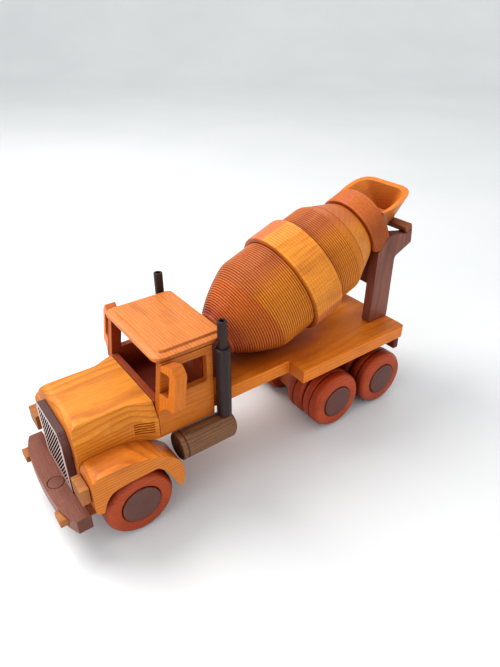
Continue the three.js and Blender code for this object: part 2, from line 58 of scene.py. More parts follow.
# ---------- wood ----------
# Colour of the pale growth, colour of the dark growth line, line spacing in mm, line contrast,
# pore strength, roughness.
WOODS = {
    "cherry": ((0.68, 0.185, 0.012), (0.42, 0.085, 0.006), 3.0, 0.35, 0.4, 0.44),
    "fir": ((0.74, 0.25, 0.022), (0.43, 0.10, 0.008), 2.8, 0.62, 0.35, 0.44),
    "red_wood": ((0.5, 0.07, 0.012), (0.28, 0.03, 0.006), 2.4, 0.45, 0.4, 0.42),
    "dark_red_wood": ((0.18, 0.03, 0.012), (0.09, 0.013, 0.006), 2.2, 0.4, 0.4, 0.48),
    "walnut": ((0.2, 0.072, 0.05), (0.09, 0.03, 0.022), 1.9, 0.55, 0.5, 0.42),
    "tan_wood": ((0.5, 0.18, 0.04), (0.28, 0.085, 0.018), 1.6, 0.5, 0.5, 0.46),
    "ebony": ((0.035, 0.018, 0.017), (0.014, 0.008, 0.008), 1.4, 0.4, 0.4, 0.34),
    "grey_brown_wood": ((0.25, 0.105, 0.045), (0.10, 0.042, 0.018), 1.7, 0.75, 0.6, 0.48),
}
# Painted shade for the grille's slots and painted highlight for its bar fronts.
SLOT_PAINTED_SHADE = (0.016, 0.003, 0.005, 1)
BAR_PAINTED_HIGHLIGHT = (0.55, 0.4, 0.37, 1)


class Shader:
    """A material's node tree. An input is a number, a tuple or another node's output."""

    def __init__(self, name):
        self.material = bpy.data.materials.new(name)
        self.material.use_nodes = True
        self.tree = self.material.node_tree
        self.tree.nodes.clear()

    def node(self, kind, inputs, **settings):
        made = self.tree.nodes.new("ShaderNode" + kind)
        for key, value in settings.items():
            setattr(made, key, value)
        for key, value in inputs.items():
            if isinstance(value, bpy.types.NodeSocket):
                self.tree.links.new(value, made.inputs[key])
            else:
                made.inputs[key].default_value = value
        return made

    def math(self, operation, a, b=0.0):
        return self.node("Math", {0: a, 1: b}, operation=operation).outputs[0]

    def add(self, *terms):
        total = terms[0]
        for term in terms[1:]:
            total = self.math("ADD", total, term)
        return total

    def times(self, a, b):
        return self.math("MULTIPLY", a, b)

    def join(self, x, y, z):
        return self.node("CombineXYZ", {0: x, 1: y, 2: z}).outputs[0]

    def split(self, vector):
        return list(self.node("SeparateXYZ", {0: vector}).outputs)

    def noise(self, vector, scale, detail=3.0, roughness=0.55):
        settings = {"Vector": vector, "Scale": scale, "Detail": detail, "Roughness": roughness}
        return self.node("TexNoise", settings).outputs[0]

    def span(self, value, low, high, to_low=0.0, to_high=1.0):
        settings = {0: value, 1: low, 2: high, 3: to_low, 4: to_high}
        return self.node("MapRange", settings, interpolation_type="SMOOTHSTEP").outputs[0]

    def blend(self, factor, a, b, how="MIX"):
        settings = {0: factor, 6: a, 7: b}
        return self.node("Mix", settings, data_type="RGBA", blend_type=how).outputs[2]

    def ramp(self, factor, stops, how="LINEAR"):
        made = self.node("ValToRGB", {0: factor})
        elements = made.color_ramp.elements
        made.color_ramp.interpolation = how
        while len(elements) < len(stops):
            elements.new(0.5)
        for element, (at, colour) in zip(elements, stops):
            element.position = at
            element.color = (*colour, 1) if len(colour) == 3 else colour
        return made.outputs[0]


def grey(value):
    return (value, value, value, 1)


def patchwork(shader, metric, patches):
    """Tint of a glued-up block, or painted shade inside the cab: each patch lies beyond a plane and fades in over
    a width in mm.
    """
    base = grey(1)
    for normal, offset, width, tint in patches:
        product = shader.node("VectorMath", {0: metric, 1: normal}, operation="DOT_PRODUCT")
        mask = shader.span(product.outputs["Value"], offset, offset + width)
        base = shader.blend(mask, base, (*tint, 1))
    return base


def stretched(shader, along, across, up, length, girth):
    """Place scaled by one factor along the fibres and another across them."""
    return shader.join(shader.times(along, length), shader.times(across, girth), shader.times(up, girth))


def rings_of(shader, along, across, up, heart, spacing, fibre):
    """Growth lines round the tree's heart, which lies outside the piece."""
    out = shader.math("SUBTRACT", across, heart[0])
    off = shader.math("SUBTRACT", up, heart[1])
    radius = shader.math("SQRT", shader.add(shader.times(out, out), shader.times(off, off)))
    slow = shader.noise(stretched(shader, along, across, up, 0.005, 0.012), 1.0, 1.0)
    quick = shader.noise(stretched(shader, along, across, up, 0.025, 0.07), 1.0, 1.0)
    wander = shader.add(shader.times(slow, 14.0), shader.times(quick, 1.8))
    phase = shader.math("DIVIDE", shader.add(radius, wander, shader.times(fibre, 0.4)), spacing)
    stops = [(0.0, (0, 0, 0)), (0.45, (0.12,) * 3), (0.82, (1, 1, 1)), (0.93, (0.85,) * 3), (1.0, (0, 0, 0))]
    return shader.ramp(shader.math("FRACT", phase), stops)


def comb_painted_light(shader, metric, normal, colour, comb):
    """Painted shade in the slots between bars and a painted highlight on the bars' front faces; comb is (front,
    half width, bottom, top) in mm.
    """
    front, wide, low, high = comb
    face, sideways, height = shader.split(metric)
    forward = shader.span(shader.split(normal)[0], 0.6, 0.9)
    tip_highlight = shader.times(forward, shader.span(face, front - 0.5, front - 0.3))
    between = shader.span(shader.math("ABSOLUTE", sideways), wide, wide + 0.1, 1, 0)
    above = shader.span(height, low - 0.1, low)
    below = shader.span(height, high, high + 0.1, 1, 0)
    inside = shader.times(between, shader.times(above, below))
    # Painted shade on the back plate between the bars.
    slot = shader.times(inside, shader.span(face, front - 1.9, front - 1.8))
    colour = shader.blend(slot, colour, SLOT_PAINTED_SHADE)
    return shader.blend(shader.times(tip_highlight, 0.85), colour, BAR_PAINTED_HIGHLIGHT)


def painted_crease_shade(shader, colour):
    """Painted shade: darker and redder where pieces meet, from ambient occlusion."""
    nook = shader.node("AmbientOcclusion", {"Distance": 0.035}, samples=5).outputs[1]
    shade_tint = shader.ramp(nook, [(0.08, (0.3, 0.12, 0.1)), (0.4, (0.72, 0.5, 0.42)), (0.8, (1, 1, 1))])
    return shader.blend(1.0, colour, shade_tint, "MULTIPLY")


def wood(name, slot, grain, seed, heart=None, patches=(), tint=(1, 1, 1), figure=1.0, comb=None):
    """Oiled wood round the object's own origin, its fibres along the grain axis."""
    pale, dark, spacing, contrast, pores, roughness = WOODS[slot]
    contrast *= figure
    chance = random.Random(seed)
    shader = Shader(name)
    place = shader.node("TexCoord", {})
    normal = place.outputs["Normal"]
    scaled = shader.node("VectorMath", {0: place.outputs["Object"], 1: (1 / MM,) * 3}, operation="MULTIPLY")
    metric = scaled.outputs[0]
    axes = shader.split(metric)
    first = "XYZ".index(grain)
    along, across, up = axes[first:] + axes[:first]
    shift = chance.uniform(0, 900)
    pale = tuple(c * t * chance.uniform(0.93, 1.07) for c, t in zip(pale, tint))
    dark = tuple(c * t for c, t in zip(dark, tint))
    along = shader.add(along, shift)
    heart = heart or (chance.uniform(-14, 14), -chance.uniform(24, 50))

    fibre = shader.noise(stretched(shader, along, across, up, 0.05, 1.0), 1.1, 5.0, 0.62)
    ring = rings_of(shader, along, across, up, heart, spacing, fibre)
    pore = shader.noise(stretched(shader, along, across, up, 0.16, 2.6), 1.4, 2.0)
    pore = shader.span(pore, 0.58, 0.74)
    cloud = shader.noise(stretched(shader, along, across, up, 0.018, 0.05), 1.0, 3.0)
    end_grain = shader.span(shader.math("ABSOLUTE", shader.split(normal)[first]), 0.55, 0.95)

    colour = shader.blend(shader.times(ring, contrast), (*pale, 1), (*dark, 1))
    colour = shader.blend(shader.span(fibre, 0.35, 0.68, 0.0, 0.42), colour, (*dark, 1))
    if patches:
        colour = shader.blend(1.0, colour, patchwork(shader, metric, patches), "MULTIPLY")
    cloud_tone = shader.ramp(cloud, [(0.3, (0.72, 0.64, 0.6)), (0.5, (1, 1, 1)), (0.72, (1.0, 1.0, 1.0))])
    colour = shader.blend(0.8, colour, cloud_tone, "MULTIPLY")
    colour = shader.blend(shader.times(pore, pores), colour, tuple(c * 0.45 for c in dark) + (1,))
    colour = shader.blend(shader.times(end_grain, 0.62), colour, tuple(c * 0.8 for c in dark) + (1,))
    # Painted shade in the grille's slots and painted highlight on its bar fronts.
    if comb:
        colour = comb_painted_light(shader, metric, normal, colour, comb)
    # Painted shade in creases and where pieces meet.
    colour = painted_crease_shade(shader, colour)

    relief = shader.add(shader.times(ring, 0.4), shader.times(fibre, 0.9), shader.times(pore, -0.9))
    bump = shader.node("Bump", {"Height": relief, "Strength": 0.55, "Distance": 0.00016})
    wear = shader.add(shader.times(pore, 0.14), shader.times(end_grain, 0.12), shader.times(cloud, 0.16))
    surface = shader.node("BsdfPrincipled", {
        "Base Color": colour,
        "Roughness": shader.add(wear, roughness - 0.1),
        "Normal": bump.outputs[0],
        "Coat Weight": 0.05,
        "Coat Roughness": 0.25,
        "Specular IOR Level": 0.2,
    })
    shader.node("OutputMaterial", {"Surface": surface.outputs[0]})
    return shader.material


# ---------- shapes ----------
def rounded(points, steps=7):
    """Closed outline through (x, y) or (x, y, r) points; r rounds that corner."""
    out = []
    for i, (x, y, *size) in enumerate(points):
        here = Vector((x, y))
        if not size or size[0] == 0:
            out.append(here)
            continue
        before = Vector(points[i - 1][:2]) - here
        after = Vector(points[(i + 1) % len(points)][:2]) - here
        enter = here + before.normalized() * size[0]
        leave = here + after.normalized() * size[0]
        for k in range(steps + 1):
            t = k / steps
            out.append(enter * (1 - t) ** 2 + here * 2 * t * (1 - t) + leave * t * t)
    return out


def build(name, points, faces, matrix=None, sharp=40):
    """Object from points in mm. Faces meeting at less than the sharp angle are shaded as one curve."""
    mesh = bpy.data.meshes.new(name)
    mesh.from_pydata([Vector(p) * MM for p in points], [], faces)
    work = bmesh.new()
    work.from_mesh(mesh)
    bmesh.ops.recalc_face_normals(work, faces=work.faces)
    work.to_mesh(mesh)
    work.free()
    mesh.shade_smooth()
    mesh.set_sharp_from_angle(angle=math.radians(sharp))
    made = bpy.data.objects.new(name, mesh)
    bpy.context.scene.collection.objects.link(made)
    made.matrix_world = matrix or Matrix()
    return made


def soften(made, width, angle=35, segments=3):
    """Sanded edges."""
    edge = made.modifiers.new("sanded", "BEVEL")
    edge.width = width * MM
    edge.segments = segments
    edge.limit_method = "ANGLE"
    edge.angle_limit = math.radians(angle)
    edge.use_clamp_overlap = True
    edge.harden_normals = True
    return made


def loft(name, rings, matrix=None, capped=True, closed=False, sharp=40):
    """Skin over rings of equal count."""
    count = len(rings[0])
    points = [p for ring in rings for p in ring]
    faces = []
    last = len(rings) if closed else len(rings) - 1
    for i in range(last):
        a, b = i * count, (i + 1) % len(rings) * count
        faces += [[a + k, a + (k + 1) % count, b + (k + 1) % count, b + k] for k in range(count)]
    if capped:
        faces += [list(range(count)), list(range((len(rings) - 1) * count, len(rings) * count))]
    return build(name, points, faces, matrix, sharp)


def lathe(name, profile, matrix, bored=False, sides=96, sharp=40):
    """Piece turned about its own Z from (radius, height) points. Unless bored they start and end on the axis."""
    turn = [2 * math.pi * k / sides for k in range(sides)]
    rings = []
    for radius, height in profile:
        radius = max(radius, 0.001)
        rings.append([(radius * math.cos(a), radius * math.sin(a), height) for a in turn])
    return loft(name, rings, matrix, capped=not bored, closed=bored, sharp=sharp)


def sawn(node, edge):
    """The CAD node's own solid as a board with sanded edges, its origin at its middle."""
    middle = middle_of(node)
    work = bmesh.new()
    work.from_mesh(frame["nodes"][node].data)
    bmesh.ops.remove_doubles(work, verts=work.verts, dist=2e-6)
    bmesh.ops.dissolve_limit(work, angle_limit=math.radians(1.5), verts=work.verts, edges=work.edges)
    work.verts.ensure_lookup_table()
    work.verts.index_update()
    points = [(v.co - middle) / MM for v in work.verts]
    faces = [[v.index for v in face.verts] for face in work.faces]
    work.free()
    made = build(f"{node}_piece", points, faces, Matrix.Translation(middle), sharp=50)
    return soften(made, edge)


def cut_away(made, tool):
    """Takes the tool's volume out of the piece and throws the tool away."""
    cutter = made.modifiers.new("cut", "BOOLEAN")
    cutter.operation = "DIFFERENCE"
    cutter.solver = "EXACT"
    cutter.object = tool
    bpy.context.view_layer.update()
    result = made.evaluated_get(bpy.context.evaluated_depsgraph_get())
    cut = bpy.data.meshes.new_from_object(result)
    made.modifiers.clear()
    made.data = cut
    bpy.data.objects.remove(tool)


def facing(direction, at):
    """Frame whose Z points along direction."""
    return Matrix.Translation(at) @ direction.to_track_quat("Z", "Y").to_matrix().to_4x4()


def middle_of(node):
    low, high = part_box(node)
    return (low + high) / 2


def size_of(node):
    low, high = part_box(node)
    return (high - low) / MM


seeds = iter(range(1, 400))


def dress(made, node, grain, **look):
    """The piece stands for the CAD node, moves with its body and takes its wood."""
    slot = look.pop("slot", SLOT_OF[node])
    made.data.materials.clear()
    made.data.materials.append(wood(f"{made.name}_wood", slot, grain, next(seeds), **look))
    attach(made, BODY_OF[node])
    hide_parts(node)
    return made


# ---------- wheels ----------
def turned_edge(profile, steps=5):
    """Open (radius, height[, r]) profile with its rounded corners worked out."""
    ring = rounded(profile, steps)
    return [(p.x, p.y) for p in ring]


def wheel_profile(radius, width, bore, recess):
    """Tread with rounded shoulders and a groove round its middle, perhaps with a seat for the hub cap."""
    groove, deep, shoulder, eased = 1.1, 2.4, 3.2, 1.2
    half = width / 2
    tread = [
        (radius - shoulder, 0, 0.8),
        (radius, shoulder, 2.6),
        (radius, half - groove, 0.5),
        (radius - deep, half - groove / 2, 0.4),
        (radius - deep, half + groove / 2, 0.4),
        (radius, half + groove, 0.5),
        (radius, width - shoulder, 2.6),
        (radius - shoulder, width, 0.8),
    ]
    if not recess:
        return [(bore, 0), *tread, (bore, width)]
    seat, depth = recess
    hollow = [(seat + eased, width, 0.8), (seat, width - eased, 0.5), (seat, width - depth)]
    return [(bore, 0), *tread, *hollow, (bore, width - depth)]


def outward(node):
    """Frame at a side piece's inner face, its Z pointing away from the truck."""
    size, middle = size_of(node), middle_of(node)
    sign = math.copysign(1, middle.y)
    inner = Vector((middle.x, middle.y - sign * size.y / 2 * MM, middle.z))
    return facing(Vector((0, sign, 0)), inner)


def add_wheel(node, recess=None):
    """Turned wheel, bored for its axle."""
    size = size_of(node)
    profile = turned_edge(wheel_profile(size.x / 2, size.y, WHEEL_BORE, recess))
    made = lathe(f"{node}_piece", profile, outward(node), bored=True)
    dress(made, node, "X", heart=(random.Random(node).uniform(-60, 60), 40))


def add_hub(node):
    """Slightly domed disc set into the wheel's face."""
    size = size_of(node)
    radius, height = size.x / 2, size.y
    profile = [
        (0, 0),
        (radius, 0),
        (radius, height - 1.6, 0),
        (radius - 1.0, height - 0.75, 0.8),
        (radius * 0.6, height - 0.12, 2),
        (0, height),
    ]
    made = lathe(f"{node}_piece", turned_edge(profile), outward(node))
    dress(made, node, "Z", tint=(1.25, 1.4, 1.55))


def add_dowel(node, direction, edge=0.5, bore=None, **look):
    """Rod along a direction, with eased ends and perhaps a drilled top."""
    low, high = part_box(node)
    middle, size = (low + high) / 2, (high - low) / MM
    axis = max(range(3), key=lambda i: abs(direction[i]))
    length = size[axis]
    radius = size[(axis + 1) % 3] / 2
    foot = middle - direction * length / 2 * MM
    profile = [(0, 0), (radius - edge, 0), (radius, edge)]
    profile += [(radius, length - edge, 0.3), (radius - edge, length, 0.3)]
    if bore:
        width, depth = bore
        profile += [(width, length, 0.2), (width, length - depth), (0, length - depth)]
    else:
        profile += [(0, length)]
    made = lathe(f"{node}_piece", turned_edge(profile, 4), facing(direction, foot), sides=64)
    dress(made, node, "Z", **look)


WHEEL_BORE = 5.05
HUB_SEAT = (15.9, 5.7)
AXLES = ["front_axle", "rear_axle_1", "rear_axle_2"]
for axle in AXLES:
    add_dowel(axle, Vector((0, 1, 0)))
for side in SIDES:
    add_wheel(f"front_wheel_{side}", HUB_SEAT)
    add_hub(f"front_hub_cap_{side}")
    for axle in AXLES[1:]:
        add_wheel(f"{axle}_outer_wheel_{side}", HUB_SEAT)
        add_wheel(f"{axle}_inner_wheel_{side}")
        add_hub(f"{axle}_hub_cap_{side}")

# ---------- boards ----------
# Grain axis and width of the sanded edge in mm.
BOARDS = {
    "chassis_board": ("X", 0.9),
    "front_axle_block": ("Y", 0.8),
    "rear_axle_block": ("X", 0.8),
    "rear_bar": ("Y", 0.8),
    "cab_back": ("Y", 0.5),
    "cab_cowl": ("Y", 0.5),
    "crossbar": ("Y", 0.7),
    "drum_front_bearing": ("Y", 0.8),
    "drum_rear_bearing": ("Y", 0.8),
    "hood": ("X", 0.6),
    "bumper": ("Y", 0.9),
}
PAIRED_BOARDS = {
    "cab_side": ("X", 0.5),
    "post": ("Z", 0.8),
    "bumper_block": ("X", 0.5),
    "headlight": ("X", 0.6),
    "mirror": ("Z", 0.6),
}
# Painted shade for the inside of the cab: its floor on the chassis board and the inner faces of its sides.
CAB_INNER_SHADE = (0.42, 0.2, 0.6)
CAB_FLOOR_SHADE = (0.3, 0.14, 0.5)
LOOKS = {
    "hood": {"heart": (6, -70), "tint": (1.03, 1.0, 0.95)},
    "chassis_board": {
        "heart": (18, -60),
        "tint": (1.2, 1.2, 0.9),
        # Painted shade on the floor inside the cab.
        "patches": (((1, 0, 0), 54, 1, CAB_FLOOR_SHADE),),
    },
    # Painted shade on the inner faces of the cab sides.
    "cab_side_left": {"patches": (((0, -1, 0), 2.5, 0.4, CAB_INNER_SHADE),)},
    "cab_side_right": {"patches": (((0, 1, 0), 2.5, 0.4, CAB_INNER_SHADE),)},
    "post_left": {"tint": (1.35, 1.2, 1.15)},
    "post_right": {"tint": (1.35, 1.2, 1.15)},
    # Painted shade: the cab's back and cowl are tinted dark like the shaded inside of the cab.
    "cab_back": {"tint": (0.36, 0.2, 0.6)},
    "cab_cowl": {"tint": (0.4, 0.22, 0.5)},
    "bumper": {"tint": (1.3, 1.2, 0.95), "figure": 0.4},
    "crossbar": {"tint": (2.3, 2.1, 1.0)},
}
for node, (grain, edge) in BOARDS.items():
    dress(sawn(node, edge), node, grain, **LOOKS.get(node, {}))
for stem, (grain, edge) in PAIRED_BOARDS.items():
    for side in SIDES:
        node = f"{stem}_{side}"
        dress(sawn(node, edge), node, grain, **LOOKS.get(node, {}))


def prism(outline, x0, x1, inner=None):
    """Points and faces of an outline in (y, z) between two x values. An opening has as many corners."""
    count = len(outline)
    walls = [outline, inner] if inner else [outline]
    points = [(x, y, z) for wall in walls for x in (x0, x1) for y, z in wall]
    faces = []
    for i in range(count):
        j = (i + 1) % count
        for base in range(0, len(points), 2 * count):
            faces.append([base + i, base + j, base + count + j, base + count + i])
        if inner:
            for end in (0, count):
                faces.append([i + end, j + end, j + end + 2 * count, i + end + 2 * count])
    if not inner:
        faces += [list(range(count)), list(range(count, 2 * count))]
    return points, faces


def chord(outline, start, along):
    """The two points where a line crosses a convex outline, or nothing when it barely does."""
    hits = []
    for a, b in zip(outline, outline[1:] + outline[:1]):
        edge = Vector(b) - Vector(a)
        turn = edge.x * along.y - edge.y * along.x
        if abs(turn) < 1e-9:
            continue
        gap = start - Vector(a)
        t = (gap.x * along.y - gap.y * along.x) / turn
        if 0 <= t < 1:
            hits.append(Vector(a) + edge * t)
    if len(hits) != 2 or (hits[0] - hits[1]).length < 2:
        return None
    return sorted(hits, key=lambda p: p.dot(along))


def slanting_bars(opening, count, pitch, width, lean):
    """Outlines of parallel bars that reach right across an opening."""
    along = Vector((math.sin(lean), math.cos(lean)))
    aside = Vector((math.cos(lean), -math.sin(lean)))
    half = aside * width / 2
    bars = []
    for i in range(count):
        ends = chord(opening, aside * (i - (count - 1) / 2) * pitch, along)
        if ends:
            foot, top = ends
            bars.append([tuple(p) for p in (foot - half, foot + half, top + half, top - half)])
    return bars


def both_sides(corners):
    """Outline from its right half."""
    return corners + [(-y, z) for y, z in reversed(corners)]


def add_grille():
    """Back plate, clipped border and a row of slanting bars."""
    middle, size = middle_of("grille"), size_of("grille")
    front, half, foot, top = size.x / 2, size.y / 2, -size.z / 2, size.z / 2
    clip, fall, edge, sill, depth = 5.9, 8.3, 5.3, 4.7, 1.7
    crown, shoulder, shrink = 3.6, 5.8, 1.6
    border = both_sides([(half, foot), (half, top - fall), (half - clip, top)])
    opening = both_sides([
        (half - edge, foot + sill),
        (half - edge, top - shoulder),
        (half - edge - shrink, top - crown),
    ])
    parts = [prism(border, -front, front - depth), prism(border, front - depth, front, opening)]
    for bar in slanting_bars(opening, 28, 2.48, 0.95, math.radians(41.6)):
        parts.append(prism(bar, front - depth, front - 0.05))
    points, faces = [], []
    for part_points, part_faces in parts:
        faces += [[k + len(points) for k in face] for face in part_faces]
        points += part_points
    made = soften(build("grille_piece", points, faces, Matrix.Translation(middle)), 0.14, segments=2)
    comb = (front, half - edge, foot + sill, top - crown + 0.1)
    dress(made, "grille", "Z", tint=(0.9, 1.15, 1.3), comb=comb)


add_grille()
add_dowel("bumper_plug", Vector((0, 0, 1)), 0.3, tint=(1.9, 1.9, 1.6))

# ---------- mudguards, roof ----------
# Outline from the front axle's x and the ground, each corner with its rounding.
FENDER = [
    (29.2, 42.2, 1.5), (35, 44.2, 3), (35, 77, 9), (2.7, 77, 12), (-21.3, 69.7, 8),
    (-35.8, 56.2, 9), (-37.3, 38.2, 4), (-33.3, 28.5, 0.8), (-30.9, 33.2, 2), (-21.8, 53.4, 4),
    (-15.5, 60, 3), (11, 59.6, 5), (21.2, 57.9, 4), (26.5, 51.3, 4),
]


def add_fender(side):
    """Sawn across the truck to the fender outline, its outer edges well rounded."""
    node = f"fender_{side}"
    low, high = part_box(node)
    axle = middle_of("front_axle").x
    path = rounded(FENDER, 9)
    start = Vector(((low.x + high.x) / 2, 0, (low.z + high.z) / 2))
    flat = [(p.x + (axle - start.x) / MM, p.y - start.z / MM) for p in path]
    rings = [[(x, y / MM, z) for x, z in flat] for y in (low.y, high.y)]
    made = loft(f"{node}_piece", rings, Matrix.Translation(start))
    soften(made, 1.7, 50, 4)
    dress(made, node, "X", heart=(SIDES[side] * 48, -60), tint=(1.0, 0.95, 0.9))


def roof_ring(size, inset, z, front_r=9, rear_r=4, rear_inset=None):
    """Rounded rectangle at a height above the roof's underside."""
    half_x, half_y = size.x / 2, size.y / 2
    back = inset if rear_inset is None else rear_inset
    corners = [
        (half_x - inset, half_y - inset, front_r),
        (-half_x + back, half_y - inset, rear_r),
        (-half_x + back, -half_y + inset, rear_r),
        (half_x - inset, -half_y + inset, front_r),
    ]
    return [(p.x, p.y, z - size.z / 2) for p in rounded(corners, 9)]


def add_roof():
    """Slab whose edges slope up to a raised panel."""
    size = size_of("roof")
    top = size.z
    slab = [(0.8, 0, 8.4, 3.4), (0.2, 0.25, 8.9, 3.9), (0, 0.8), (0, top - 3.4), (0.15, top - 3.0)]
    slope = [(0.5, top - 2.75, 8.6, 3.7, 0.4), (4.8, top - 2.05, 6, 4, 1.0), (5.1, top - 1.95, 5.8, 4, 1.2)]
    panel = [(5.7, top - 0.45, 5.2, 3.6, 1.7), (5.9, top - 0.15, 5, 3.5, 2.0), (6.4, top, 4.8, 3.2, 2.6)]
    rings = [roof_ring(size, *step) for step in slab + slope + panel]
    made = loft("roof_piece", rings, Matrix.Translation(middle_of("roof")), sharp=30)
    dress(made, "roof", "Y", heart=(14, -60), tint=(1.0, 1.0, 2.2), figure=0.7)


for side in SIDES:
    add_fender(side)
add_roof()

# ---------- stacks and tanks ----------
for side in SIDES:
    add_dowel(f"stack_body_{side}", Vector((0, 0, 1)), 0.9, bore=(4.15, 6))
    add_dowel(f"stack_pipe_{side}", Vector((0, 0, 1)), 0.4, bore=(2.1, 9))


def add_tank(side):
    """Round tank with a strap line near each end."""
    node = f"fuel_tank_{side}"
    size, middle = size_of(node), middle_of(node)
    radius, length = size.z / 2, size.x
    nick, half, dome, rim = 1.0, 0.75, 3.4, 1.1

    def strap_line(at):
        return [(radius, at - half), (radius - nick, at, 0.3), (radius, at + half)]

    profile = [(0, 0), (radius - dome, 0, 1.5), (radius, dome, 2.4)]
    profile += strap_line(5) + strap_line(length - 4.5)
    profile += [(radius, length - rim, 0.6), (radius - rim, length, 0.6), (0, length)]
    foot = middle - Vector((length / 2 * MM, 0, 0))
    made = lathe(f"{node}_piece", turned_edge(profile, 5), facing(Vector((1, 0, 0)), foot))
    dress(made, node, "Z")


for side in SIDES:
    add_tank(side)

# ---------- drum ----------
SPIN = next(joint for joint in frame["joints"] if joint["name"] == "drum_spin")
DRUM_FRAME = facing(Vector(SPIN["axis"]), Vector(SPIN["pos_m"]))
BAND_R, BARREL_R, BORE = 48.8, 44.5, 5.0
BAND_REAR, BAND_FRONT = -30.0, 0.0
MOUTH, NOSE = -85.7, 74.4
PINK, GOLD, ORANGE, RED = (0.84, 0.76, 2.6), (1.16, 1.3, 1.3), (0.98, 0.78, 1.5), (0.8, 0.48, 1.8)
DRUM_PATCHES = (
    ((0, 0, -1), -500, 1, PINK),
    ((0.97, -0.22, 0), 8, 18, GOLD),
    ((0.114, -0.114, 1), 39.6, 0.6, ORANGE),
    ((0, -0.1, 1), 54, 16, RED),
)
BAND_PATCHES = (
    ((0.9, 0.4, 0), 6, 9, GOLD),
    ((0.5, -0.87, 0), 34, 4, PINK),
    ((-0.6, 0.8, 0), 40, 3, PINK),
)


def smooth_path(points, steps=12):
    """Curve through (radius, height) points."""
    out = []
    for i in range(len(points) - 1):
        p0, p1, p2, p3 = (Vector(points[min(max(i + k, 0), len(points) - 1)]) for k in (-1, 0, 1, 2))
        square = 2 * p0 - 5 * p1 + 4 * p2 - p3
        cube = 3 * p1 - p0 - 3 * p2 + p3
        for k in range(steps):
            t = k / steps
            out.append(0.5 * (2 * p1 + (p2 - p0) * t + square * t * t + cube * t ** 3))
    return out + [Vector(points[-1])]


def grooved(path, pitch, depth):
    """Points of a turned surface along the path with rounded ridges a pitch apart."""
    shape = [1.0, 0.3, 0.0, 0.0, 0.3]
    lengths = [0.0]
    for a, b in zip(path, path[1:]):
        lengths.append(lengths[-1] + (b - a).length)
    count = max(1, round(lengths[-1] / pitch)) * len(shape)
    out = []
    j = 0
    for k in range(count + 1):
        want = lengths[-1] * k / count
        while j < len(path) - 2 and lengths[j + 1] < want:
            j += 1
        a, b = path[j], path[j + 1]
        t = (want - lengths[j]) / max(lengths[j + 1] - lengths[j], 1e-9)
        run = (b - a).normalized()
        inward = Vector((-run.y, run.x))
        at = a.lerp(b, t) + inward * depth * shape[k % len(shape)]
        out.append((at.x, at.y))
    return out


def add_drum():
    """Ribbed barrel with a plain mouth, a smooth belt under the band and a rounded nose."""
    step = 0.4
    mouth = [(BORE, MOUTH), (29.0, MOUTH), (30.3, MOUTH + 0.3), (31.0, MOUTH + 1.1), (32.6, -81.8), (40, -65.3)]
    rear = [(40, -65.3), (44.0, -57.5), (BARREL_R, -55), (BARREL_R, BAND_REAR - step)]
    belt = [(BARREL_R - step, BAND_REAR), (BARREL_R - step, BAND_FRONT)]
    nose = smooth_path([(BARREL_R, 28), (43.4, 34.5), (37.6, 47.5), (30.5, 60), (22.4, 71.2)])
    front = [Vector((BARREL_R, BAND_FRONT + step)), *nose]
    cap = [(21.4, 72.6), (20.2, 73.8), (18.5, NOSE), (BORE, NOSE)]
    profile = [
        *mouth,
        *grooved([Vector(p) for p in rear], 2.0, 1.0),
        *belt,
        *grooved(front, 2.05, 1.05),
        *cap,
    ]
    made = lathe("drum_piece", profile, DRUM_FRAME, bored=True, sides=160, sharp=50)
    dress(made, "drum", "Z", heart=(15, -60), patches=DRUM_PATCHES, figure=0.6)


def add_band():
    """Ring glued round the barrel, its back lined with fine grooves."""
    inner, brow, ease = BARREL_R + 0.3, 1.2, 0.4
    ridge = grooved([Vector((BAND_R, BAND_REAR + brow)), Vector((BAND_R, BAND_FRONT - brow))], 2.5, 0.55)
    rear = [(inner, BAND_REAR), (BAND_R - 1.0, BAND_REAR), (BAND_R - 0.3, BAND_REAR + ease)]
    front = [(BAND_R - 0.3, BAND_FRONT - ease), (BAND_R - 1.0, BAND_FRONT), (inner, BAND_FRONT)]
    made = lathe("drum_band_piece", [*rear, *ridge, *front], DRUM_FRAME, bored=True, sides=160, sharp=50)
    dress(made, "drum_band", "Z", heart=(20, -70), patches=BAND_PATCHES, figure=0.6)


def add_shaft():
    """Rod the drum turns on."""
    radius, ease, rear, front = 4.4, 0.5, -110.5, 92
    profile = [(0, rear), (radius - ease, rear), (radius, rear + ease)]
    profile += [(radius, front - ease), (radius - ease, front), (0, front)]
    dress(lathe("drum_shaft_piece", profile, DRUM_FRAME, sides=48), "drum_shaft", "Z")


add_drum()
add_band()
add_shaft()

# ---------- collar and hopper ----------
# X along the drum's axis, Y to the truck's left, Z up and square to the axis.
LEAN = (SPIN["axis"][0], SPIN["axis"][2])
AXIS_FRAME = Matrix.Translation(Vector(SPIN["pos_m"])) @ Matrix((
    (LEAN[0], 0, -LEAN[1], 0),
    (0, 1, 0, 0),
    (LEAN[1], 0, LEAN[0], 0),
    (0, 0, 0, 1),
))


def add_collar():
    """Half ring with straight legs, its back ringed with fine grooves and its feet cut to the posts."""
    outer, inner, front, rear, leg, ease = 34.0, 28.5, -86.0, -105.7, -24.0, 0.6
    back = grooved([Vector((outer, rear + 1)), Vector((outer, front - 1))], 1.95, ease)
    section = [(inner + ease, rear), (outer - 0.8, rear), *back]
    section += [(outer - 0.8, front), (inner + ease, front), (inner, front - ease), (inner, rear + ease)]
    steps = 72
    turns = [math.pi * k / steps for k in range(steps + 1)]
    rings = [[(x, -r, leg) for r, x in section]]
    rings += [[(x, -r * math.cos(a), r * math.sin(a)) for r, x in section] for a in turns]
    rings += [[(x, r, leg) for r, x in section]]
    made = loft("collar_piece", rings, AXIS_FRAME, sharp=35)
    cut_away(made, seat_tool())
    dress(made, "collar", "Y", tint=(0.82, 0.82, 1.9), figure=0.6)


